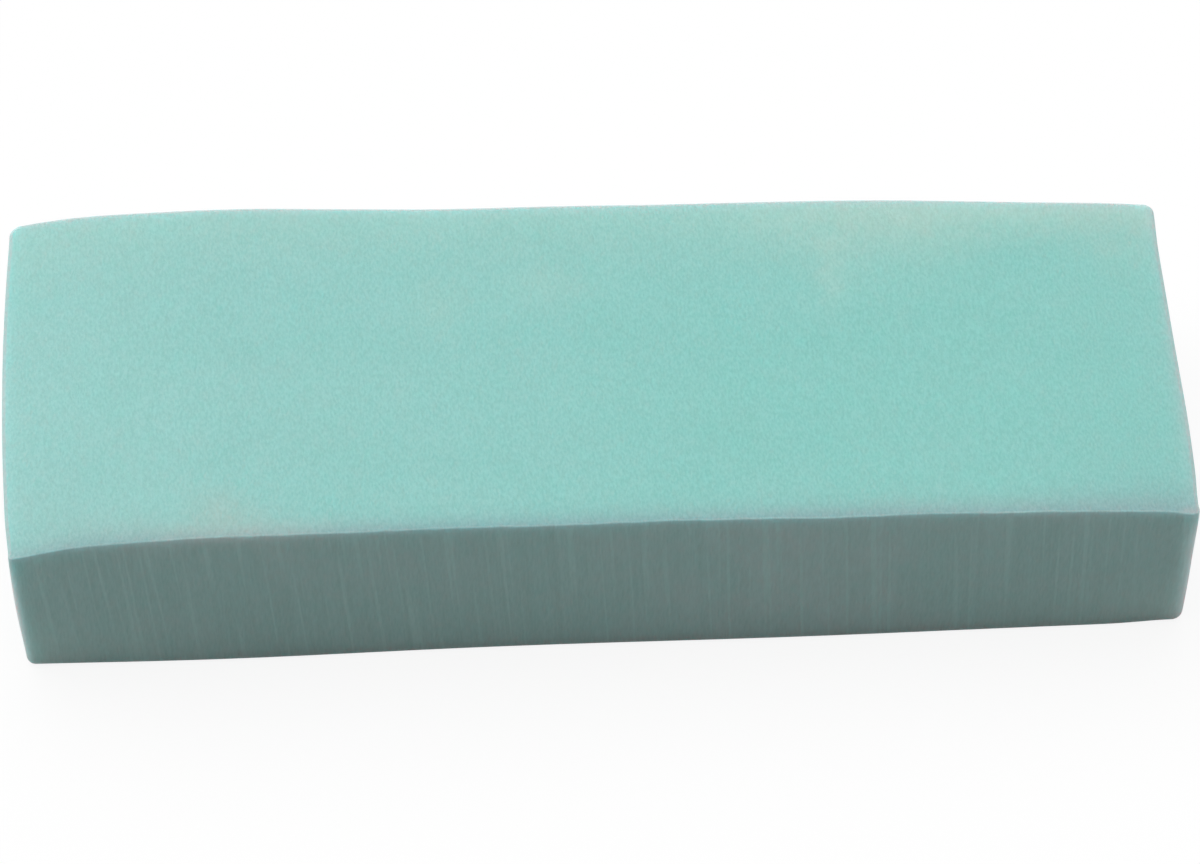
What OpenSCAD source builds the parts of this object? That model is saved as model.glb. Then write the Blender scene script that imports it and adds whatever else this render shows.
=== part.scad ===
// Cleaning sponge: one block of fine-pored foam, cut from a slab.
// The walls are a ruled loft between plan outlines, and a long elevation profile trims its top.
// X runs along the block, Y across it and Z up. The origin is under the middle, on the underside.

/* [Block] */
// Overall length, from the crest of one end to the crest of the other
block_len = 200; // [160:1:260]
// Width across the left end
left_w = 71; // [50:0.5:100]
// Width across the right end
right_w = 67; // [50:0.5:100]
// Thickness along the flat middle stretch
block_h = 34.2; // [22:0.1:50]

/* [Sagging top] */
// How far the top edge of the left end lies below the flat stretch
left_drop = 4.2; // [0.5:0.1:8]
// Length of the top that curves down to the left end
left_run = 35; // [16:1:50]
// How far the top edge of the right end lies below the flat stretch
right_drop = 2.4; // [0.5:0.1:8]
// Length of the top that curves down to the right end
right_run = 66; // [16:1:90]

/* [Ends and corners] */
// How far the left end face swells out at its middle
left_bow = 1.1; // [0.2:0.1:4]
// How far the right end face swells out at its middle
right_bow = 0.2; // [0.2:0.1:4]
// How far the foot of the left end is tucked in under its top edge
left_tuck = 2; // [0:0.1:5]
// How far the foot of the right end stands out past its top edge
right_flare = 1; // [0:0.1:5]
// Radius of the four upright corners, seen from above
corner_r = 2.5; // [2:0.1:8]
// Radius of the soft edge around the underside
foot_r = 1.3; // [0.4:0.1:1.8]

/* [Hidden] */

foam_colour = [0.57, 0.8, 0.77];
// Steps along each corner arc, each end face and the quarter round of the foot
corner_steps = 8;
end_steps = 12;
foot_steps = 5;
// Facets of the full circles that the sagging top is cut with
arc_facets = 360;
// How far the loft and the trimming shapes pass each other, so that every cut is a clean one
overlap = 5;

left_end_h = block_h - left_drop;
right_end_h = block_h - right_drop;
loft_h = block_h + overlap;

// Half the width at x: both long faces run straight and draw together towards the right end
function half_width(x) = (left_w + (right_w - left_w) * (x / block_len + 0.5)) / 2;

// Crest of each end face at height z. Both ends lean to the left: the left one reaches furthest out at its
// top edge, and the right one just above its rounded foot.
function left_crest(z) = -block_len / 2 + left_tuck * (1 - z / left_end_h);
function right_crest(z) = block_len / 2 - right_flare * (z - foot_r) / (right_end_h - foot_r);

// The long faces are straight between these places, which hold for all heights and are clear of the corners
long_face_left = left_crest(0) + left_bow + 2 * corner_r;
long_face_right = right_crest(loft_h) - right_bow - 2 * corner_r;

// How far the outline at height z stays inside the walls, where the foot is rounded
function foot_inset(z) = z < foot_r ? foot_r - sqrt(foot_r * foot_r - (foot_r - z) * (foot_r - z)) : 0;

// Arc of one corner: centre, radius and the angle that it starts from
function corner_arc(centre, radius, start) =
    [for (i = [0:corner_steps]) let (a = start + 90 * i / corner_steps) centre + radius * [cos(a), sin(a)]];

// Swell of one end face between its corners, from y = from to y = -from, standing out by bow
function end_curve(x, from, bow) =
    [for (i = [1:end_steps - 1]) let (t = 1 - 2 * i / end_steps) [x + bow * (1 - t * t), from * t]];

// Plan outline at height z, anticlockwise from the front left corner
function outline(z) =
    let (
        inset = foot_inset(z),
        r = corner_r - inset,
        x_left = left_crest(z) + left_bow + corner_r,
        x_right = right_crest(z) - right_bow - corner_r,
        y_left = half_width(x_left) - corner_r,
        y_right = half_width(x_right) - corner_r,
        y_long_left = half_width(long_face_left) - inset,
        y_long_right = half_width(long_face_right) - inset
    )
    concat(
        corner_arc([x_left, -y_left], r, 180),
        [[long_face_left, -y_long_left], [long_face_right, -y_long_right]],
        corner_arc([x_right, -y_right], r, 270),
        end_curve(x_right + r, -y_right, right_bow),
        corner_arc([x_right, y_right], r, 0),
        [[long_face_right, y_long_right], [long_face_left, y_long_left]],
        corner_arc([x_left, y_left], r, 90),
        end_curve(x_left - r, y_left, -left_bow)
    );

// Heights of the outlines: close together round the foot, then one at the top of the loft
ring_heights = concat([for (i = [0:foot_steps]) foot_r * (1 - cos(90 * i / foot_steps))], [loft_h]);

// Solid through a stack of outlines that all have the same number of points
module loft(heights) {
    rings = [for (z = heights) [for (p = outline(z)) [p.x, p.y, z]]];
    n = len(rings[0]);
    last = len(heights) - 1;
    walls = [for (k = [0:last - 1], i = [0:n - 1])
        [k * n + i, (k + 1) * n + i, (k + 1) * n + (i + 1) % n, k * n + (i + 1) % n]];
    underside = [for (i = [0:n - 1]) i];
    lid = [for (i = [n - 1:-1:0]) last * n + i];
    polyhedron(points = [for (ring = rings) each ring], faces = concat([underside, lid], walls));
}

// Waste above the sagging stretch at the right end of the elevation: a circle that meets the flat top
// tangentially at the start of the run passes through the dropped edge
module sag_waste(drop, run) {
    r = (run * run + drop * drop) / (2 * drop);
    start = block_len / 2 - run;
    difference() {
        translate([start, block_h - drop - overlap])
            square([run + overlap, drop + 2 * overlap]);
        translate([start, block_h - r])
            circle(r = r, $fn = arc_facets);
    }
}

// Elevation of the block: a straight foot and a top that sags to both ends
module elevation() {
    difference() {
        translate([-block_len / 2 - overlap, -overlap])
            square([block_len + 2 * overlap, block_h + overlap]);
        sag_waste(right_drop, right_run);
        mirror([1, 0])
            sag_waste(left_drop, left_run);
    }
}

module sponge_block() {
    depth = max(left_w, right_w) + 2 * overlap;
    color(foam_colour)
        intersection() {
            loft(ring_heights);
            translate([0, depth / 2, 0])
                rotate([90, 0, 0])
                    linear_extrude(height = depth)
                        elevation();
        }
}

sponge_block();
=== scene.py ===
"""Cleaning sponge: one block of fine-pored foam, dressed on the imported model.

The block is meshed here at full detail in the form that the solid has: walls that lean and swell, soft
upright corners, a rounded foot and a top that sags towards both ends. All sizes are in millimetres until
the mesh is made. X runs along the block, Y across it and Z up.
"""

import math

import bpy
import numpy as np
from mathutils import Matrix, Vector


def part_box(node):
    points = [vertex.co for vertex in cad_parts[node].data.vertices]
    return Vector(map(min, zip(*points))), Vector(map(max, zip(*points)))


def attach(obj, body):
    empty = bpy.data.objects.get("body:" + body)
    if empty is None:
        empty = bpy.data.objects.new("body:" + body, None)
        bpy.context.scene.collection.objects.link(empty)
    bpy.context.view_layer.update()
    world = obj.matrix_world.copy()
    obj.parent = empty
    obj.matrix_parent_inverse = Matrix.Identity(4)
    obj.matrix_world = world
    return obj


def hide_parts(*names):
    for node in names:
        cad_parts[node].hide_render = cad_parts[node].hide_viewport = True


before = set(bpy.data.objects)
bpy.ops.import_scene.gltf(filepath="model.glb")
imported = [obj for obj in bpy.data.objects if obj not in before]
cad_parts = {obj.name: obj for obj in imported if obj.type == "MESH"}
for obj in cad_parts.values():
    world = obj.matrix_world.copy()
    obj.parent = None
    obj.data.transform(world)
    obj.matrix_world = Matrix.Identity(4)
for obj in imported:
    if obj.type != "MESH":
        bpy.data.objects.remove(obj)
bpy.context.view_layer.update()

NODE = "sponge_block"
MM = 0.001
QUARTER_TURN = math.pi / 2

# Sizes of the block, the same as in the solid
BLOCK_LEN = 200.0
LEFT_W = 71.0
RIGHT_W = 67.0
BLOCK_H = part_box(NODE)[1].z / MM
# How far the top sags at each end, and over what length
LEFT_DROP = 4.2
LEFT_RUN = 35.0
RIGHT_DROP = 2.4
RIGHT_RUN = 66.0
# How far each end swells out at its middle
LEFT_BOW = 1.1
RIGHT_BOW = 0.2
# How far the left end is tucked in at its foot, and how far the right one stands out there
LEFT_TUCK = 2.0
RIGHT_FLARE = 1.0
# Radius of the edge round the foot
FOOT_R = 1.3

# Radii of the upright corners: front left, front right, back right, back left
CORNER_R = np.array([1.5, 2.2, 1.7, 2.2])
# The two front corners are sharper at their tops and soften over this depth
SHARP_R = (0.9, 1.3)
SHARP_DEPTH = 14.0
# Radius of the edge round the top: along the front, and along the ends and the back
FRONT_ARRIS = 0.3
OTHER_ARRIS = 0.55

# Waver of the long walls: place along X, spread and how far the wall stands out there
FRONT_TOP_WAVER = (
    (-97.0, 3.0, 0.2),
    (-87.0, 5.0, -0.2),
    (-74.0, 12.0, 0.1),
    (-27.0, 8.0, -0.15),
    (0.0, 90.0, -0.12),
    (10.0, 9.0, -0.15),
    (39.0, 11.0, 0.4),
    (67.0, 6.0, 0.1),
    (98.0, 3.0, 0.6),
)
FRONT_FOOT_WAVER = (
    (-64.0, 34.0, 0.7),
    (32.0, 36.0, 0.36),
    (98.0, 7.0, -0.5),
)
BACK_WAVER = (
    (-90.0, 12.0, 0.5),
    (-57.0, 11.0, 0.47),
    (-25.0, 13.0, -0.25),
    (18.0, 8.0, 0.1),
    (50.0, 24.0, 0.46),
    (90.0, 12.0, 0.4),
)
# Waver of the end faces, in the same form along Y
LEFT_TOP_WAVER = (
    (-33.5, 4.0, -0.3),
    (35.0, 3.0, 0.1),
)
RIGHT_TOP_WAVER = ((-31.0, 4.0, -0.3),)
RIGHT_WAVER = (
    (-14.0, 12.0, 0.2),
    (0.0, 40.0, 0.05),
    (33.0, 6.0, 0.38),
)
# How far the ends swell out at half their height, the left one at its front corner only
LEFT_BELLY = ((-34.0, 8.0, 0.35),)
RIGHT_BELLY = 0.25
# Fine unevenness that the knife left along the front arris: height, wavelengths and seed
ARRIS_RIPPLE = 0.04
ARRIS_LENGTHS = (4.0, 6.5, 10.0, 15.0)
ARRIS_SEED = 11
# Gentle unevenness of the top: direction in X and Y, wavelengths, seed and height
TOP_RIPPLES = (
    ((1.0, 0.0), (23.0, 37.0, 58.0), 3, 0.035),
    ((0.0, 1.0), (19.0, 31.0, 47.0), 5, 0.03),
    ((0.8, 0.6), (27.0, 44.0), 7, 0.035),
)

# Mesh density
LONG_SEGMENTS = 320
SHORT_SEGMENTS = 68
ARC_SEGMENTS = 5
ARRIS_ROWS = 4
WALL_ROWS = 20
FOOT_ROWS = 6
# Points past the end of a sag are taken no further out than this share of its radius
SAG_LIMIT = 0.99
# The arris is found in rounds, because its height and its place in plan depend on each other
ARRIS_ROUNDS = 4


def smooth(share):
    """Smoothstep of a share, clamped to 0..1."""
    share = np.clip(share, 0.0, 1.0)
    return share * share * (3.0 - 2.0 * share)


def rise(value, start, end):
    """Smooth rise from 0 at the start to 1 at the end, which may be on either side of it."""
    return smooth((value - start) / (end - start))


def fade(distance, reach):
    """Exponential fall from 1 at no distance."""
    return np.exp(-distance / reach)


def hump(share):
    """Parabola over 0..1 that is 0 at both ends and 1 in the middle."""
    return 4 * share * (1 - share)


def bells(x, table):
    """Sum of bells, each with its place, spread and height."""
    total = np.zeros_like(x)
    for place, spread, height in table:
        total = total + height * np.exp(-(((x - place) / spread) ** 2))
    return total


def steps(x, table):
    """Sum of smooth steps, each with its start, end and height."""
    total = np.zeros_like(x)
    for start, end, height in table:
        total = total + height * rise(x, start, end)
    return total


def ripple(x, lengths, seed):
    """Sum of sines of the given wavelengths, with seeded phases, about 1 high."""
    random = np.random.default_rng(seed)
    total = np.zeros_like(x)
    for length in lengths:
        total = total + np.sin(2 * np.pi * x / length + random.uniform(0, 2 * np.pi))
    return total / math.sqrt(len(lengths))


def half_width(x):
    """Distance of the long walls from the middle line."""
    return (LEFT_W + (RIGHT_W - LEFT_W) * (x / BLOCK_LEN + 0.5)) / 2


def left_crest(z):
    """X of the left end at height z, in its middle, where it swells out most."""
    return -BLOCK_LEN / 2 + LEFT_TUCK * (1 - z / (BLOCK_H - LEFT_DROP))


def right_crest(z):
    """X of the right end at height z, in its middle, where it swells out most."""
    return BLOCK_LEN / 2 - RIGHT_FLARE * (z - FOOT_R) / (BLOCK_H - RIGHT_DROP - FOOT_R)


def sag(into_run, drop, run):
    """Depth of the circular sag at a distance into its run."""
    radius = (run * run + drop * drop) / (2 * drop)
    into_run = np.clip(into_run, 0.0, radius * SAG_LIMIT)
    return radius - np.sqrt(radius * radius - into_run * into_run)


def top_height(x, y):
    """Height of the top skin: two sags and a gentle unevenness."""
    height = BLOCK_H - sag(-BLOCK_LEN / 2 + LEFT_RUN - x, LEFT_DROP, LEFT_RUN)
    height = height - sag(x - BLOCK_LEN / 2 + RIGHT_RUN, RIGHT_DROP, RIGHT_RUN)
    for (share_x, share_y), lengths, seed, strength in TOP_RIPPLES:
        height = height + strength * ripple(x * share_x + y * share_y, lengths, seed)
    return height


def corner_radius(z):
    """Radii of the four upright corners at height z, as rows."""
    depth = BLOCK_H - LEFT_DROP - z
    radii = np.repeat(CORNER_R[:, None], z.size, axis=1)
    for corner, sharp in enumerate(SHARP_R):
        radii[corner] = sharp + (CORNER_R[corner] - sharp) * rise(depth, 0.0, SHARP_DEPTH)
    return radii


def corner_centres(z, radii):
    """Centres of the four corner arcs at height z: front left, front right, back right, back left."""
    x_left = left_crest(z) + LEFT_BOW
    x_right = right_crest(z) - RIGHT_BOW
    rows = [x_left + radii[0], x_right - radii[1], x_right - radii[2], x_left + radii[3]]
    centre_x = np.stack(rows)
    side = np.array([-1.0, -1.0, 1.0, 1.0])[:, None]
    centre_y = side * (half_width(centre_x) - radii)
    return centre_x, centre_y


# Sides, anticlockwise from the front: the two corners, the direction faced in degrees, and the segments
SIDES = (
    (0, 1, 270, LONG_SEGMENTS),
    (1, 2, 0, SHORT_SEGMENTS),
    (2, 3, 90, LONG_SEGMENTS),
    (3, 0, 180, SHORT_SEGMENTS),
)
# How far the sides swell out at their middles
SIDE_BOWS = np.array([0.0, RIGHT_BOW, 0.0, LEFT_BOW])
# Each side takes half of the arc of its two corners, in degrees
HALF_ARC = 45


def side_stations(first, second, facing, segments):
    """Stations of one side, from the middle of one corner arc to just before the middle of the next."""
    rows = []
    for step in range(ARC_SEGMENTS):
        rows.append((first, second, 0.0, facing - HALF_ARC + HALF_ARC * step / ARC_SEGMENTS))
    for step in range(segments):
        rows.append((first, second, step / segments, facing))
    for step in range(ARC_SEGMENTS):
        rows.append((first, second, 1.0, facing + HALF_ARC * step / ARC_SEGMENTS))
    return rows


def all_stations():
    """Stations once round the block: two corners, share of the way between them, way outwards."""
    rows = []
    for side in SIDES:
        rows += side_stations(*side)
    table = np.array(rows, dtype=float)
    angle = np.radians(table[:, 3])
    return {
        "first": table[:, 0].astype(int),
        "second": table[:, 1].astype(int),
        "share": table[:, 2],
        "out_x": np.cos(angle),
        "out_y": np.sin(angle),
    }


STATIONS = all_stations()
SIDE_LONG = LONG_SEGMENTS + 2 * ARC_SEGMENTS
SIDE_SHORT = SHORT_SEGMENTS + 2 * ARC_SEGMENTS
PERIMETER = 2 * (SIDE_LONG + SIDE_SHORT)


def wall_wave(x, y, z):
    """How far the walls stand out from their plain form at each station."""
    out_x, out_y = STATIONS["out_x"], STATIONS["out_y"]
    up = np.clip(z / BLOCK_H, 0.0, 1.0)
    front = bells(x, FRONT_TOP_WAVER) * up + bells(x, FRONT_FOOT_WAVER) * (1 - up)
    front = front + ARRIS_RIPPLE * ripple(x, ARRIS_LENGTHS, ARRIS_SEED) * up**3
    back = bells(x, BACK_WAVER) * up
    belly = hump(up)
    left = bells(y, LEFT_TOP_WAVER) * up**2 + bells(y, LEFT_BELLY) * belly**2
    right = bells(y, RIGHT_TOP_WAVER) * up**2 + bells(y, RIGHT_WAVER) + RIGHT_BELLY * belly
    out = np.clip(-out_y, 0, 1) * front + np.clip(out_y, 0, 1) * back
    return out + np.clip(-out_x, 0, 1) * left + np.clip(out_x, 0, 1) * right


def wall_points(z, inset):
    """Plan positions of all stations at heights z, drawn in by inset."""
    first, second, share = STATIONS["first"], STATIONS["second"], STATIONS["share"]
    radii = corner_radius(z)
    centre_x, centre_y = corner_centres(z, radii)
    index = np.arange(PERIMETER)
    radius = (1 - share) * radii[first, index] + share * radii[second, index]
    x = (1 - share) * centre_x[first, index] + share * centre_x[second, index]
    y = (1 - share) * centre_y[first, index] + share * centre_y[second, index]
    out = radius + SIDE_BOWS[first] * hump(share) - inset
    out = out + wall_wave(x, y, z)
    return x + STATIONS["out_x"] * out, y + STATIONS["out_y"] * out


def arris_radius():
    """Radius of the top edge at each station."""
    front = smooth(-STATIONS["out_y"])
    return OTHER_ARRIS + (FRONT_ARRIS - OTHER_ARRIS) * front


def arris_height():
    """Height of the top skin at the stations of the arris."""
    z = np.full(PERIMETER, BLOCK_H)
    for _ in range(ARRIS_ROUNDS):
        x, y = wall_points(z, 0.0)
        z = top_height(x, y)
    return z


def wall_rings():
    """Rings from the edge of the top skin down to the underside, each x, y, z and share of wall."""
    top = arris_height()
    radius = arris_radius()
    rings = []
    for row in range(ARRIS_ROWS + 1):
        turn = QUARTER_TURN * row / ARRIS_ROWS
        z = top - radius * (1 - math.cos(turn))
        x, y = wall_points(z, radius * (1 - math.sin(turn)))
        rings.append((x, y, z, turn / QUARTER_TURN))
    for row in range(1, WALL_ROWS + 1):
        z = top - radius + (FOOT_R - top + radius) * row / WALL_ROWS
        x, y = wall_points(z, 0.0)
        rings.append((x, y, z, 1.0))
    for row in range(1, FOOT_ROWS + 1):
        turn = QUARTER_TURN * row / FOOT_ROWS
        z = np.full(PERIMETER, FOOT_R * (1 - math.sin(turn)))
        x, y = wall_points(z, FOOT_R * (1 - math.cos(turn)))
        rings.append((x, y, z, 1.0 - turn / QUARTER_TURN))
    return rings


def share_along(values):
    """Shares from 0 at the first of the values to 1 at the last."""
    return (values - values[0]) / (values[-1] - values[0])


def cap_grid(x, y):
    """Grid of plan points inside a closed ring of stations, made by transfinite interpolation."""
    front = np.arange(0, SIDE_LONG + 1)
    right = np.arange(SIDE_LONG, SIDE_LONG + SIDE_SHORT + 1)
    back = np.arange(2 * SIDE_LONG + SIDE_SHORT, SIDE_LONG + SIDE_SHORT - 1, -1)
    left = np.arange(PERIMETER, PERIMETER - SIDE_SHORT - 1, -1) % PERIMETER
    along_front, along_back = share_along(x[front]), share_along(x[back])
    across_left, across_right = share_along(y[left]), share_along(y[right])
    across = across_left[None, :]
    along = along_front[:, None] * (1 - across) + along_back[:, None] * across
    across = across_left[None, :] * (1 - along) + across_right[None, :] * along
    grids = []
    for ring in (x, y):
        edges = (1 - across) * ring[front][:, None] + across * ring[back][:, None]
        ends = (1 - along) * ring[left][None, :] + along * ring[right][None, :]
        corners = (1 - along) * (1 - across) * ring[front[0]] + along * (1 - across) * ring[front[-1]]
        corners = corners + (1 - along) * across * ring[back[0]] + along * across * ring[back[-1]]
        grids.append(edges + ends - corners)
    ring_index = np.full(grids[0].shape, -1)
    ring_index[:, 0] = front
    ring_index[-1, :] = right
    ring_index[:, -1] = back
    ring_index[0, :] = left
    return grids[0], grids[1], ring_index


# Dry patches: place X and Y, distances along X and Y at which the patch is down to about half, strength
DRY_PATCHES = (
    (44.0, 28.0, 10.0, 8.0, 0.6),
    (41.5, 19.0, 3.0, 6.0, 0.45),
    (-9.0, 17.0, 6.0, 3.5, 0.25),
    (-26.5, 13.0, 4.5, 5.0, 0.25),
    (-64.0, -31.0, 4.5, 4.2, 0.28),
    (-63.5, -33.2, 12.0, 1.7, 0.33),
    (-84.0, -33.5, 14.0, 4.0, 0.1),
    (91.0, 25.0, 6.0, 5.0, 0.35),
)
# Pinkish blush on the skin, in the same form
BLUSH_PATCHES = (
    (-64.0, -31.0, 4.5, 4.2, 0.18),
    (-63.5, -34.4, 13.0, 2.0, 0.2),
    (-84.0, -33.5, 14.0, 4.0, 0.05),
    (-92.0, -27.0, 6.0, 8.0, 0.04),
    (-15.0, 34.8, 32.0, 2.0, 0.18),
    (86.0, 33.5, 8.0, 3.0, 0.08),
    (92.0, 31.0, 9.0, 5.0, 0.06),
    (62.0, -34.0, 40.0, 3.0, 0.08),
)
# Patches of deeper mint, in the same form
DEEP_PATCHES = (
    (22.0, -10.0, 24.0, 22.0, 1.0),
    (69.0, 0.0, 21.0, 22.0, 1.0),
)
# How fast a patch falls off, to about half at its distances
PATCH_FALL = 0.7
# Raggedness of the patches: how much, and the wavelengths and seed of its ripples along Y and along X
RAGGED = 0.16
RAGGED_Y = ((7.0, 11.0, 17.0), 21)
RAGGED_X = ((6.0, 13.0, 19.0), 22)

# In the tables named STEPS a row has its start and end along X and its height, and one whose end is left
# of its start grows to the left. In those named BELLS a row has its place along X, spread and height.

# Paleness: the least, what the left part adds, and between which places along X it grows
PALE_BASE = 0.15
PALE_LEFT = 0.6
PALE_LEFT_START = 40.0
PALE_LEFT_END = -90.0
# What the left and the right end add to it, and what the deep patches take away
PALE_ENDS = (0.15, 0.2)
PALE_ENDS_REACH = 4.0
DEEP_LOSS = 0.2

# Dryness along the back: strength, and the share of the half width at which it starts
DRY_BASE = 0.28
DRY_STEPS = ((8.0, 48.0, 0.5),)
DRY_BELLS = ((52.0, 14.0, 0.08),)
DRY_START = 0.42
DRY_START_STEPS = ((60.0, 75.0, 0.21),)

# Where the tones of the left and of the right end start and are full along X
LEFT_END = (-96.0, -99.0)
RIGHT_END = (94.0, 98.0)
# Tones of the front part of the right end fade out between these places along Y
FRONT_PART = (0.0, 20.0)

# Painted sheen: greyish rim where the arris of the top turns to the bright studio behind: its reach, its
# strength at the right end, and how far it keeps from the front arris
RIM_SHEEN_REACH = 1.0
RIM_SHEEN_RIGHT = 0.15
RIM_SHEEN_FRONT_GAP = 8.0
# Painted sheen: pale rim where the ends of the top turn to the bright studio at the sides: strength,
# reach at the left end, and how much further it reaches at the right one
END_SHEEN_STRENGTH = 0.42
END_SHEEN_REACH = 0.45
END_SHEEN_REACH_RIGHT = 0.55

# Greyed band along the front arris, partly the skin's grey and partly painted shade: its width, which
# grows near the ends as painted shade where the top sags, how sharply it ends, and its loss at the left
# end
GREY_WIDTH = 2.2
GREY_WIDTH_STEPS = ((60.0, 100.0, 1.6), (-60.0, -90.0, 0.4))
GREY_POWER = 1.35
GREY_LOSS_STEPS = ((-88.0, -96.0, 0.35),)
# Its faint tail near both ends, painted shade where the top sags
GREY_TAIL_STEPS = ((60.0, 100.0, 0.3), (-70.0, -90.0, 0.15))
GREY_TAIL_REACH = 9.0
# The faint band along the right end, painted shade where the top sags
GREY_RIGHT = 0.15
GREY_RIGHT_REACH = 4.0

# Drier stretches of the long walls, down the whole wall and right under the arris
WALL_DRY_BELLS = ((33.0, 20.0, 0.6),)
UNDER_DRY_BELLS = ((-62.0, 16.0, 0.9), (75.0, 14.0, 0.8))
UNDER_DRY_REACH = 1.2
# Pinkish stretches right under the front arris
UNDER_BLUSH_BELLS = ((-62.0, 16.0, 0.5), (75.0, 14.0, 0.15))
UNDER_BLUSH_REACH = 1.3
# Greyer lip of the cut walls right under the arris, which is painted shade in green and blue, and greyer
# line along their foot
LIP_SHADE_REACH = 0.8
FOOT_LINE_REACH = 1.0
FOOT_LINE_STEPS = ((-75.0, -50.0, 1.0),)
# Paler low corners: reach from the end, and the height at which they are gone
FOOT_GLOW_REACH = 16.0
FOOT_GLOW_HEIGHT = 20.0

# Painted light: pale bands down the upright corners, lit by the bright studio at their sides. A pair has
# a value for the left end and one for the right.
# Reach along X, width along Y and reach past that width
BAND_REACH_X = (0.58, 1.0)
BAND_WIDTH_Y = (2.0, 1.7)
BAND_REACH_Y = 0.5
# Strength at the top, and the depth at which it is full
BAND_TOP = 0.3
BAND_FULL_DEPTH = 8.0
# Change of the strength low down, between two depths, and the share of the strength at the back
BAND_LOW_CHANGE = (-0.2, 0.15)
BAND_LOW_DEPTHS = (16.0, 28.0)
BAND_BACK = 0.5

# The tones of the skin fade out below this height, so the underside is plain
SKIN_HEIGHT = 10.0
# How far a wall has to face along Y to count as cut, not at all and fully
CUT_FACING = (0.2, 0.9)


def patches(x, y, table):
    """Strongest of the soft-edged patches at each point, with a slightly ragged outline."""
    ragged_x = RAGGED * ripple(y, *RAGGED_Y)
    ragged_y = RAGGED * ripple(x, *RAGGED_X)
    strongest = np.zeros_like(x)
    for centre_x, centre_y, reach_x, reach_y, strength in table:
        away_x = (x - centre_x) / reach_x + ragged_x
        away_y = (y - centre_y) / reach_y + ragged_y
        away = np.hypot(away_x, away_y)
        strongest = np.maximum(strongest, strength * np.exp(-PATCH_FALL * away**2))
    return strongest


def by_end(x, pair):
    """The first of the pair in the left half of the block, the second in the right half."""
    return np.where(x < 0, pair[0], pair[1])


def end_gap(x):
    """Distance from the nearer end."""
    return BLOCK_LEN / 2 - np.abs(x)


def front_gap(x, y):
    """Distance from the front arris."""
    return np.maximum(half_width(x) + y, 0.0)


def end_shares(x):
    """Shares of the left and the right end, 1 at the very end."""
    return rise(x, *LEFT_END), rise(x, *RIGHT_END)


def front_part(y):
    """1 from the front to the middle of the block, falling to 0 behind it."""
    return 1.0 - rise(y, *FRONT_PART)


def paleness(x, y):
    """How much paler than the deepest mint: most at the left end, a little at the right one."""
    to_left = np.clip((PALE_LEFT_START - x) / (PALE_LEFT_START - PALE_LEFT_END), 0.0, 1.0)
    ends = fade(end_gap(x), PALE_ENDS_REACH) * by_end(x, PALE_ENDS)
    deep = patches(x, y, DEEP_PATCHES)
    return np.clip(PALE_BASE + PALE_LEFT * to_left + ends - DEEP_LOSS * deep, 0.0, 1.0)


def dryness(x, y):
    """How far the skin is faded: along the back, most at its right half, and in patches."""
    strength = DRY_BASE + steps(x, DRY_STEPS) + bells(x, DRY_BELLS)
    start = DRY_START + steps(x, DRY_START_STEPS)
    along_back = rise(y / half_width(x), start, 1.0) * strength
    return np.maximum(along_back, patches(x, y, DRY_PATCHES))


def rim_sheen_tone(x, y, edge):
    """Painted sheen: thin greyish rim along the back of the top, and faint along the front part of the
    right end.
    """
    left, right = end_shares(x)
    near_front = rise(front_gap(x, y), RIM_SHEEN_FRONT_GAP, 0.0)
    back = (1.0 - left) * (1.0 - right) * (1.0 - near_front)
    return fade(edge, RIM_SHEEN_REACH) * (back + RIM_SHEEN_RIGHT * right * front_part(y))


def end_sheen_tone(x, edge):
    """Painted sheen: pale rim along the ends of the top, narrow at the left one and wider at the right
    one.
    """
    left, right = end_shares(x)
    return END_SHEEN_STRENGTH * (left + right) * fade(edge, END_SHEEN_REACH + END_SHEEN_REACH_RIGHT * right)


def greyness(x, y):
    """Greyed band of skin along the front arris, partly the skin's grey and partly painted shade against
    the light scattered through the arris; its widening and tail near the ends, and the faint band along
    the right end, are painted shade where the top sags.
    """
    gap = front_gap(x, y)
    width = GREY_WIDTH + steps(x, GREY_WIDTH_STEPS)
    front = np.exp(-((gap / width) ** GREY_POWER)) * (1.0 - steps(x, GREY_LOSS_STEPS))
    front = front + (1.0 - front) * steps(x, GREY_TAIL_STEPS) * fade(gap, GREY_TAIL_REACH)
    right_gap = np.maximum(BLOCK_LEN / 2 - x, 0.0)
    right = GREY_RIGHT * fade(right_gap, GREY_RIGHT_REACH) * front_part(y)
    return np.maximum(front, right)


def wall_dryness(x, depth):
    """Greyer stretch of the long walls, right of the middle, and two right under the arris."""
    return bells(x, WALL_DRY_BELLS) + bells(x, UNDER_DRY_BELLS) * fade(depth, UNDER_DRY_REACH)


def wall_blush(x, y, depth):
    """Pinkish stretches of the front wall, right under the arris."""
    return bells(x, UNDER_BLUSH_BELLS) * fade(depth, UNDER_BLUSH_REACH) * (y < 0)


def foot_line(x, z):
    """Greyer line along the foot of the long walls, but not at the left end."""
    return fade(z, FOOT_LINE_REACH) * steps(x, FOOT_LINE_STEPS)


def foot_glow(x, z):
    """Paler low corners of the long faces, where the floor throws light back."""
    return fade(end_gap(x), FOOT_GLOW_REACH) * (1.0 - rise(z, 0.0, FOOT_GLOW_HEIGHT))


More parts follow.
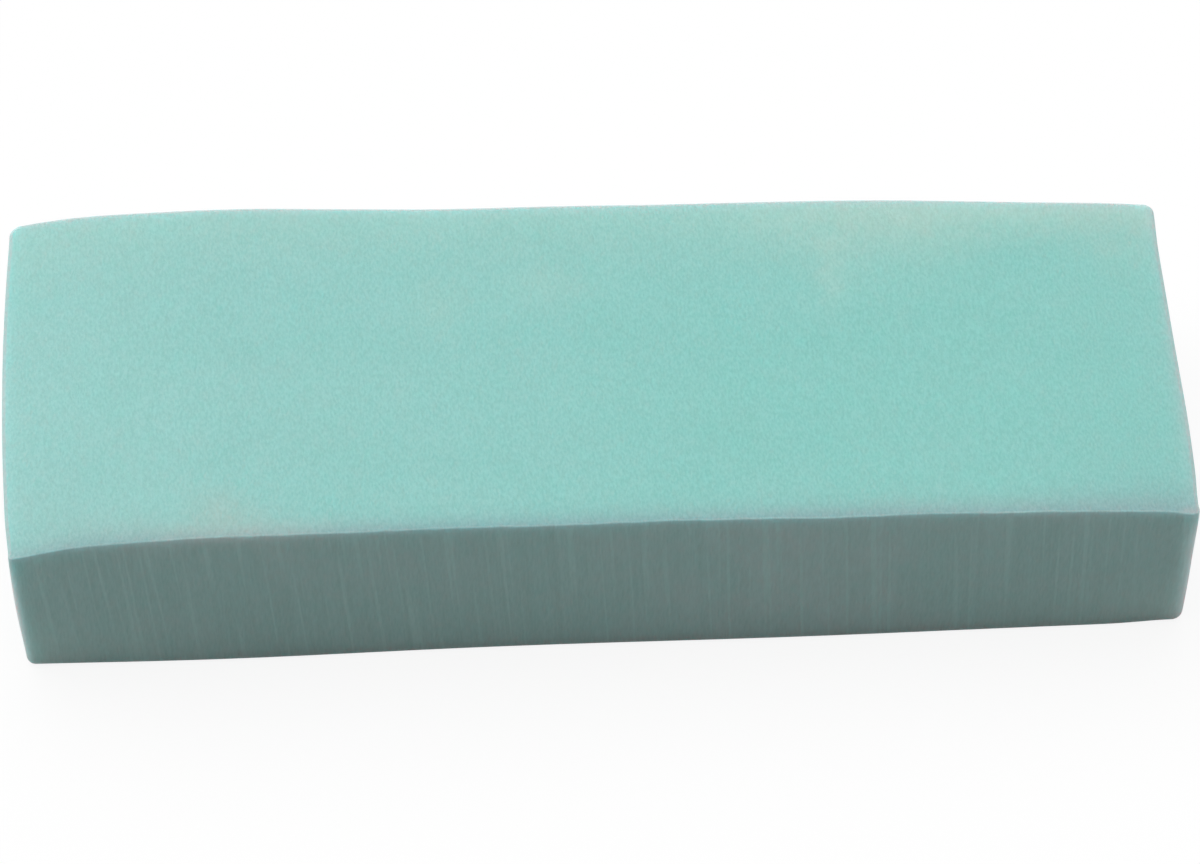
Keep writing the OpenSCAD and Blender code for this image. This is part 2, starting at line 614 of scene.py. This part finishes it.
def corner_light_band(x, y, z, depth):
    """Painted light: pale band down the upright corners, narrower at the left end and fainter at the
    back.
    """
    along = np.minimum(x - left_crest(z) - LEFT_BOW, right_crest(z) - RIGHT_BOW - x)
    along = np.maximum(along, 0.0) / by_end(x, BAND_REACH_X)
    across = np.maximum(half_width(x) - np.abs(y) - by_end(x, BAND_WIDTH_Y), 0.0) / BAND_REACH_Y
    strength = BAND_TOP + (1.0 - BAND_TOP) * rise(depth, 0.0, BAND_FULL_DEPTH)
    strength = strength * (1.0 + by_end(x, BAND_LOW_CHANGE) * rise(depth, *BAND_LOW_DEPTHS))
    strength = strength * np.where(y < 0, 1.0, BAND_BACK)
    return np.clip(np.exp(-along - across) * strength, 0.0, 1.0)


# Point attributes of the mesh, from 0 to 1, that the material reads
ATTRIBUTES = (
    "wall", "cut", "pale", "dry", "rim_sheen", "end_sheen", "grey", "corner", "foot", "line", "lip_shade", "blush",
)


def tones_at(x, y, z, wall, cut, edge):
    """Attributes of some points. Wall and cut are shares, and edge is the distance from the arris."""
    skin = rise(z, 0.0, SKIN_HEIGHT)
    flat_skin = skin * (1.0 - wall)
    cut_wall = cut * wall
    return {
        "wall": wall,
        "cut": cut,
        "pale": paleness(x, y),
        "dry": flat_skin * dryness(x, y) + wall * wall_dryness(x, edge),
        "rim_sheen": skin * rim_sheen_tone(x, y, edge),
        "end_sheen": skin * end_sheen_tone(x, edge),
        "grey": skin * greyness(x, y),
        "corner": corner_light_band(x, y, z, edge),
        "foot": foot_glow(x, z),
        "line": cut * foot_line(x, z),
        # Painted shade right under the arris
        "lip_shade": cut * fade(edge, LIP_SHADE_REACH),
        "blush": flat_skin * patches(x, y, BLUSH_PATCHES) + cut_wall * wall_blush(x, y, edge),
    }


class Surface:
    """Collects points, quads and point attributes."""

    def __init__(self):
        self.points = []
        self.quads = []
        self.attributes = {name: [] for name in ATTRIBUTES}
        self.count = 0

    def add_points(self, x, y, z, wall, cut, edge):
        """Adds points with their tones, and returns their numbers."""
        first = self.count
        self.points.append(np.stack([x, y, z], axis=1))
        for name, value in tones_at(x, y, z, wall, cut, edge).items():
            self.attributes[name].append(np.broadcast_to(value, x.size))
        self.count += x.size
        return first + np.arange(x.size)

    def add_quads(self, *corners):
        """Adds quads from four arrays of point numbers, one for each corner."""
        self.quads.append(np.stack([ids.ravel() for ids in corners], axis=1))


def add_cap(surface, ring, ring_ids, is_top):
    """Closes a ring with a grid: the top skin or the flat underside."""
    grid_x, grid_y, ring_index = cap_grid(ring[0], ring[1])
    ids = np.where(ring_index >= 0, ring_ids[ring_index], -1)
    inside = ids < 0
    x, y = grid_x[inside], grid_y[inside]
    z = top_height(x, y) if is_top else np.zeros_like(x)
    edge = np.minimum(half_width(x) - np.abs(y), np.minimum(x - left_crest(z), right_crest(z) - x))
    ids[inside] = surface.add_points(x, y, z, 0.0, 0.0, np.maximum(edge, 0.0))
    front_left, front_right = ids[:-1, :-1], ids[1:, :-1]
    back_left, back_right = ids[:-1, 1:], ids[1:, 1:]
    if is_top:
        surface.add_quads(front_left, front_right, back_right, back_left)
    else:
        surface.add_quads(front_left, back_left, back_right, front_right)


def build_surface():
    """The whole skin of the block: rings round its walls, the top and the underside."""
    surface = Surface()
    rings = wall_rings()
    arris_z = rings[ARRIS_ROWS][2]
    cut = rise(np.abs(STATIONS["out_y"]), *CUT_FACING)
    ids = []
    for x, y, z, wall in rings:
        ids.append(surface.add_points(x, y, z, wall, cut, np.maximum(arris_z - z, 0.0)))
    for upper, lower in zip(ids[:-1], ids[1:]):
        surface.add_quads(upper, lower, np.roll(lower, -1), np.roll(upper, -1))
    add_cap(surface, rings[0], ids[0], True)
    add_cap(surface, rings[-1], ids[-1], False)
    return surface


def make_block():
    """The block as a mesh object in metres, with its tones as point attributes."""
    surface = build_surface()
    points = np.concatenate(surface.points) * MM
    quads = np.concatenate(surface.quads)
    mesh = bpy.data.meshes.new("foam_block")
    mesh.from_pydata(points.tolist(), [], quads.tolist())
    mesh.polygons.foreach_set("use_smooth", np.ones(len(quads), dtype=bool))
    for name, parts in surface.attributes.items():
        layer = mesh.attributes.new(name, "FLOAT", "POINT")
        layer.data.foreach_set("value", np.concatenate(parts).astype(np.float32))
    mesh.validate()
    mesh.update()
    block = bpy.data.objects.new("foam_block", mesh)
    bpy.context.scene.collection.objects.link(block)
    return block


class Graph:
    """Adds nodes to one node tree. A value that is a socket is linked, and any other is set."""

    def __init__(self, tree):
        self.tree = tree
        tree.nodes.clear()

    def add(self, kind, inputs=None, **settings):
        """Adds a node of a kind, with its settings and its inputs by name or number."""
        node = self.tree.nodes.new(kind)
        for name, value in settings.items():
            setattr(node, name, value)
        for key, value in (inputs or {}).items():
            socket = node.inputs[key]
            if isinstance(value, bpy.types.NodeSocket):
                self.tree.links.new(value, socket)
            else:
                socket.default_value = value
        return node

    def math(self, operation, first, second=0.0, third=0.0, clamp=False):
        """Result of a math operation."""
        inputs = {0: first, 1: second, 2: third}
        return self.add("ShaderNodeMath", inputs, operation=operation, use_clamp=clamp).outputs[0]

    def vector(self, operation, inputs):
        """Result of a vector math operation."""
        return self.add("ShaderNodeVectorMath", inputs, operation=operation).outputs[0]

    def mix(self, factor, base, other):
        """The base colour, going over to the other one with the factor."""
        inputs = {"Factor": factor, "A": base, "B": other}
        node = self.add("ShaderNodeMix", inputs, data_type="RGBA")
        return node.outputs["Result"]

    def attribute(self, name):
        """Value of a point attribute of the mesh."""
        return self.add("ShaderNodeAttribute", attribute_name=name).outputs["Fac"]

    def noise(self, vector, scale, detail, roughness):
        """Noise from 0 to 1."""
        inputs = {"Vector": vector, "Scale": scale, "Detail": detail, "Roughness": roughness}
        return self.add("ShaderNodeTexNoise", inputs).outputs["Fac"]

    def ramp(self, value, low, high, to_low=0.0, to_high=1.0):
        """Smooth step of the value between low and high."""
        inputs = {"Value": value, "From Min": low, "From Max": high, "To Min": to_low, "To Max": to_high}
        node = self.add("ShaderNodeMapRange", inputs, interpolation_type="SMOOTHSTEP")
        return node.outputs["Result"]


# Tones of the skin, in linear light
DEEP = (0.288, 0.624, 0.576, 1)
PALE = (0.358, 0.642, 0.612, 1)
DRY = (0.445, 0.660, 0.60, 1)
# Painted sheen of the greyish rim along the back of the top
RIM_SHEEN = (0.475, 0.47, 0.455, 1)
BLUSH = (0.53, 0.44, 0.43, 1)
# Painted sheen of the pale rim along the ends of the top
END_SHEEN = (0.62, 0.52, 0.54, 1)
# Greyed skin along the front arris, partly painted shade
GREY = (0.285, 0.456, 0.466, 1)
# Tones of the end faces, the cut walls and the arris, in linear light
END = (0.40, 0.59, 0.575, 1)
CUT = (0.286, 0.442, 0.422, 1)
CUT_LIGHT = (0.312, 0.478, 0.460, 1)
CUT_DRY = (0.345, 0.465, 0.455, 1)
STREAK = (0.350, 0.530, 0.505, 1)
# Painted shade right under the cut arris
LIP_SHADE = (0.343, 0.416, 0.417, 1)
# Painted light of the pale bands down the upright corners
CORNER_LIGHT = (0.78, 0.76, 0.77, 1)
FOOT = (0.39, 0.56, 0.53, 1)
FOOT_LINE = (0.32, 0.30, 0.285, 1)
# Painted highlight along the cut arris, and its strength
ARRIS_HIGHLIGHT = (0.64, 0.80, 0.80, 1)
ARRIS_HIGHLIGHT_STRENGTH = 0.9

# Noises: scale in cells per millimetre, detail and roughness
MOTTLE_NOISE = (0.06, 3.0, 0.6)
FLECK_NOISE = (0.3, 2.0, 0.5)
STREAK_NOISE = (0.8, 2.0, 0.75)
BRIGHT_NOISE = (1.3, 0.0, 0.5)
GRAIN_NOISE = (1.0, 2.0, 0.6)
GRIT_NOISE = (1.8, 2.0, 0.6)
# The part of a noise that is spread out: around its middle, nearly all of it, and its brightest streaks
MIDDLE = (0.3, 0.7)
BROAD = (0.2, 0.8)
BRIGHTEST = (0.6, 0.76)
# Strength of the mottle in the paleness, and how much more it counts in the dryness of the walls
MOTTLE = 0.1
WALL_MOTTLE = 3.5
# How far the dry places vary in strength
FLECKS = (0.85, 1.15)
BRIGHT_STRENGTH = 0.62
# How far the cut streaks drift along the wall for each millimetre of height, in the middle of the block,
# and how much less for each millimetre to the right of it
STREAK_TILT = 0.085
TILT_CHANGE = 0.0003
# How fast a streak changes along its height, against how fast it changes along the wall
STREAK_CHANGE = 0.01
# How fine the grain is along X, Y and Z, and its strength in red, green and blue
GRAIN_SCALE = (2.5, 1.15, 0.46)
GRAIN = (0.074, 0.083, 0.084)
# How much less grain the walls have than the top
WALL_CALM = 0.4
# Relief of the grain and of the finer grit
GRAIN_RELIEF = 0.18
GRIT_RELIEF = 0.07
# How far light travels inside the foam, in millimetres of red, green and blue
SCATTER = (1.5, 7.0, 7.0)


def skin_colour(graph, tones, mottle, place_mm):
    """Skin: mint with a soft mottle, paler and drier places, a greyed front that is partly painted
    shade, and pale rims of painted sheen.
    """
    skin = graph.mix(graph.math("ADD", tones["pale"], mottle, clamp=True), DEEP, PALE)
    flecks = graph.ramp(graph.noise(place_mm, *FLECK_NOISE), *MIDDLE, *FLECKS)
    # Greyed band along the front arris, partly painted shade
    skin = graph.mix(tones["grey"], skin, GREY)
    skin = graph.mix(graph.math("MULTIPLY", tones["dry"], flecks, clamp=True), skin, DRY)
    # Painted sheen: greyish rim along the back of the top
    skin = graph.mix(tones["rim_sheen"], skin, RIM_SHEEN)
    skin = graph.mix(tones["blush"], skin, BLUSH)
    # Painted sheen: pale rim along the ends of the top
    return graph.mix(tones["end_sheen"], skin, END_SHEEN)


def side_colour(graph, tones, mottle, place_mm):
    """Sides: greyer cut walls with fine streaks, plain end faces, painted shade right under the arris
    and pale bands of painted light down the corners.
    """
    xyz = graph.add("ShaderNodeSeparateXYZ", {0: place_mm}).outputs
    tilt = graph.math("MULTIPLY_ADD", xyz["X"], -TILT_CHANGE, STREAK_TILT)
    drift = graph.math("MULTIPLY_ADD", xyz["Z"], tilt, xyz["X"])
    height = graph.math("MULTIPLY", xyz["Z"], STREAK_CHANGE)
    along = graph.add("ShaderNodeCombineXYZ", {0: drift, 1: xyz["Y"], 2: height}).outputs[0]
    fine = graph.ramp(graph.noise(along, *STREAK_NOISE), *BROAD)
    bright = graph.ramp(graph.noise(along, *BRIGHT_NOISE), *BRIGHTEST)
    cut = graph.mix(fine, CUT, CUT_LIGHT)
    drier = graph.math("MULTIPLY_ADD", mottle, WALL_MOTTLE, tones["dry"], clamp=True)
    cut = graph.mix(drier, cut, CUT_DRY)
    cut = graph.mix(graph.math("MULTIPLY", bright, BRIGHT_STRENGTH), cut, STREAK)
    cut = graph.mix(tones["foot"], cut, FOOT)
    cut = graph.mix(tones["line"], cut, FOOT_LINE)
    # Painted shade right under the arris
    cut = graph.mix(tones["lip_shade"], cut, LIP_SHADE)
    cut = graph.mix(tones["blush"], cut, BLUSH)
    # Painted light: pale bands down the upright corners
    return graph.mix(tones["corner"], graph.mix(tones["cut"], END, cut), CORNER_LIGHT)


def foam_material():
    """Foam with its tones, its suede grain and light that scatters inside it."""
    material = bpy.data.materials.new("foam")
    material.use_nodes = True
    graph = Graph(material.node_tree)
    place = graph.add("ShaderNodeTexCoord").outputs["Object"]
    place_mm = graph.vector("SCALE", {0: place, "Scale": 1 / MM})
    tones = {name: graph.attribute(name) for name in ATTRIBUTES}
    wall = tones["wall"]
    mottle = graph.ramp(graph.noise(place_mm, *MOTTLE_NOISE), *MIDDLE, -MOTTLE, MOTTLE)
    skin = skin_colour(graph, tones, mottle, place_mm)
    sides = side_colour(graph, tones, mottle, place_mm)
    colour = graph.mix(wall, skin, sides)

    # Painted highlight halfway round the cut arris, where its rounding catches the light, but not where
    # the rim is greyish
    halfway = graph.math("MULTIPLY", wall, graph.math("SUBTRACT", 1.0, wall))
    clear = graph.math("MULTIPLY", tones["cut"], graph.math("SUBTRACT", 1.0, tones["rim_sheen"]))
    arris_highlight = graph.math("MULTIPLY", graph.math("MULTIPLY", halfway, clear), ARRIS_HIGHLIGHT_STRENGTH)
    colour = graph.mix(arris_highlight, colour, ARRIS_HIGHLIGHT)

    # Suede grain as tone and as relief, longer across the block than along it, and fainter on the walls
    stretched = graph.vector("MULTIPLY", {0: place_mm, 1: GRAIN_SCALE})
    grain = graph.noise(stretched, *GRAIN_NOISE)
    strength = graph.math("MULTIPLY_ADD", wall, -WALL_CALM, 1.0)
    tone = graph.math("MULTIPLY", graph.ramp(grain, *BROAD, -0.5, 0.5), strength)
    colour = graph.vector("MULTIPLY_ADD", {0: tone, 1: GRAIN, 2: colour})
    grit = graph.noise(stretched, *GRIT_NOISE)
    grit_relief = graph.math("MULTIPLY", grit, GRIT_RELIEF)
    relief = graph.math("ADD", graph.math("MULTIPLY", grain, GRAIN_RELIEF), grit_relief)
    relief = graph.math("MULTIPLY", relief, strength)
    bump = graph.add("ShaderNodeBump", {"Strength": 1.0, "Distance": MM, "Height": relief})
    shader = graph.add(
        "ShaderNodeBsdfPrincipled",
        {
            "Base Color": colour,
            "Roughness": 0.92,
            "Specular IOR Level": 0.25,
            "Subsurface Weight": 1.0,
            "Subsurface Radius": SCATTER,
            "Subsurface Scale": MM,
            "Sheen Weight": 0.1,
            "Sheen Roughness": 0.5,
            "Normal": bump.outputs[0],
        },
    )
    graph.add("ShaderNodeOutputMaterial", {"Surface": shader.outputs[0]})
    return material


# Floor, in metres: it lies a little below the block
FLOOR_SIZE = 6.0
FLOOR_GAP = 0.05 * MM
WHITE = (1.0, 1.0, 1.0, 1.0)
# What the foam sees of the floor, and how far the camera sees it as plain white
FLOOR_ALBEDO = (0.66, 0.66, 0.66, 1)
FLOOR_GLOW = 0.88
# Radiance of the studio in front of the object and behind it, and the Y of the direction, on both sides
# of the middle, at which it is reached
WORLD_FRONT = 0.24
WORLD_BACK = 0.6
WORLD_TURN = 0.7
# The sun makes up the rest on a level surface
SUN_SHARE = 1.0 - (WORLD_FRONT + WORLD_BACK) / 2
SUN_DIRECTION = Vector((-0.25, 0.27, 0.93))
SUN_ANGLE = 65.0


def make_floor():
    """White floor that still takes a faint shadow."""
    mesh = bpy.data.meshes.new("floor")
    half = FLOOR_SIZE / 2
    corners = [(-half, -half), (half, -half), (half, half), (-half, half)]
    mesh.from_pydata([(x, y, -FLOOR_GAP) for x, y in corners], [], [(0, 1, 2, 3)])
    floor = bpy.data.objects.new("floor", mesh)
    bpy.context.scene.collection.objects.link(floor)
    material = bpy.data.materials.new("floor")
    material.use_nodes = True
    graph = Graph(material.node_tree)
    path = graph.add("ShaderNodeLightPath")
    seen = graph.math("MAXIMUM", path.outputs["Is Camera Ray"], path.outputs["Is Glossy Ray"])
    seen = graph.math("MAXIMUM", seen, path.outputs["Is Transmission Ray"])
    diffuse = graph.add("ShaderNodeBsdfDiffuse", {"Color": graph.mix(seen, FLOOR_ALBEDO, WHITE)})
    white = graph.add("ShaderNodeEmission", {"Color": WHITE, "Strength": 1.0})
    share = graph.math("MULTIPLY", seen, FLOOR_GLOW)
    mixed = graph.add("ShaderNodeMixShader", {0: share, 1: diffuse.outputs[0], 2: white.outputs[0]})
    graph.add("ShaderNodeOutputMaterial", {"Surface": mixed.outputs[0]})
    mesh.materials.append(material)


def make_light():
    """Bright studio all round, plain white to the camera, and one broad sun high behind the block."""
    world = bpy.data.worlds.new("studio")
    bpy.context.scene.world = world
    world.use_nodes = True
    graph = Graph(world.node_tree)
    ray = graph.add("ShaderNodeTexCoord").outputs["Generated"]
    to_back = graph.add("ShaderNodeSeparateXYZ", {0: ray}).outputs["Y"]
    radiance = graph.ramp(to_back, -WORLD_TURN, WORLD_TURN, WORLD_FRONT, WORLD_BACK)
    path = graph.add("ShaderNodeLightPath")
    strength = graph.math("MAXIMUM", radiance, path.outputs["Is Camera Ray"])
    background = graph.add("ShaderNodeBackground", {"Color": WHITE, "Strength": strength})
    graph.add("ShaderNodeOutputWorld", {"Surface": background.outputs[0]})
    sun_data = bpy.data.lights.new("key", "SUN")
    direction = SUN_DIRECTION.normalized()
    sun_data.energy = math.pi * SUN_SHARE / direction.z
    sun_data.angle = math.radians(SUN_ANGLE)
    sun = bpy.data.objects.new("key", sun_data)
    sun.rotation_euler = direction.to_track_quat("Z", "Y").to_euler()
    bpy.context.scene.collection.objects.link(sun)


# Camera: focal length in pixels of the 1200 x 864 image, angles in degrees, distance in millimetres
IMAGE_W = 1200
IMAGE_H = 864
FOCAL_PX = 5300.0
ELEVATION = 51.898
YAW = -6.415
ROLL = 3.613
CENTRE_PX = (592.85, 421.57)
DISTANCE = 906.7
TARGET = Vector((0.0, 0.0, 17.5))
SENSOR = 36.0


def make_camera():
    """Camera that looks past the target, so that the target is seen at CENTRE_PX."""
    elevation, yaw, roll = (math.radians(angle) for angle in (ELEVATION, YAW, ROLL))
    level_share = math.cos(elevation)
    to_camera = (math.sin(yaw) * level_share, -math.cos(yaw) * level_share, math.sin(elevation))
    forward = -Vector(to_camera)
    level = Vector((math.cos(yaw), math.sin(yaw), 0.0))
    upright = level.cross(forward)
    right = level * math.cos(roll) + upright * math.sin(roll)
    up = upright * math.cos(roll) - level * math.sin(roll)
    across = (CENTRE_PX[0] - IMAGE_W / 2) / FOCAL_PX
    down = (CENTRE_PX[1] - IMAGE_H / 2) / FOCAL_PX
    eye = TARGET - (forward + right * across - up * down) * DISTANCE
    data = bpy.data.cameras.new("camera")
    data.sensor_width = SENSOR
    data.sensor_fit = "HORIZONTAL"
    data.lens = SENSOR * FOCAL_PX / IMAGE_W
    data.clip_start = 0.01
    data.clip_end = 100.0
    camera = bpy.data.objects.new("camera", data)
    turn = Matrix((right, up, -forward)).transposed().to_4x4()
    camera.matrix_world = Matrix.Translation(eye * MM) @ turn
    bpy.context.scene.collection.objects.link(camera)
    bpy.context.scene.camera = camera


make_camera()
block = make_block()
block.data.materials.append(foam_material())
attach(block, "root")
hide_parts(NODE)
make_floor()
make_light()
bpy.context.scene.view_settings.view_transform = "Standard"
